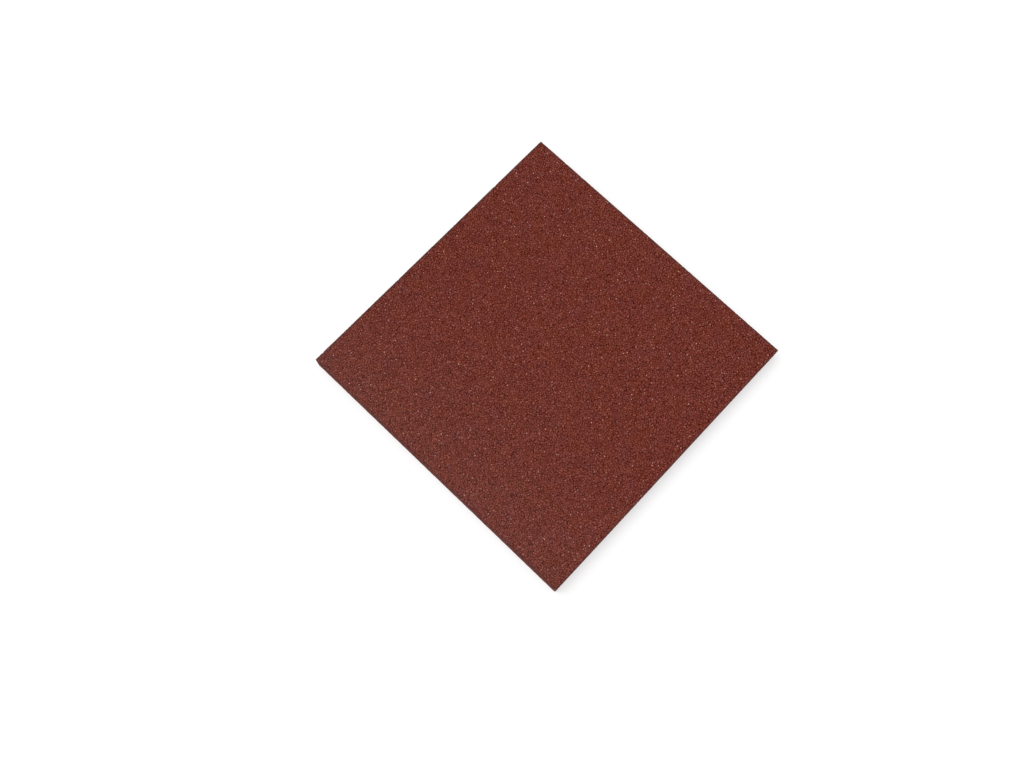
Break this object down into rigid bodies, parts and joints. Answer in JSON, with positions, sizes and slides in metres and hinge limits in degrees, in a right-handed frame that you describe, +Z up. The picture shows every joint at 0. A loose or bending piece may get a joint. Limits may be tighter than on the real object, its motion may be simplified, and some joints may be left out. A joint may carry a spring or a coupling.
{
  "type": "rubber floor tile",
  "caption": "Square floor tile pressed in one piece from bonded red-brown rubber crumb, with a granular walking surface, straight sides for butt joints and a flat underside.",
  "frame": {"origin": "middle of the flat underside, on the floor plane", "axes": "+Z up through the thickness, out of the walking surface; +X and +Y along the tile's sides"},
  "size_m": [0.5, 0.5, 0.03],
  "materials": {
    "red_brown_crumb_rubber": "matte"
  },
  "bodies": {
    "root": {"rubber_tile": "red_brown_crumb_rubber"}
  },
  "joints": []
}
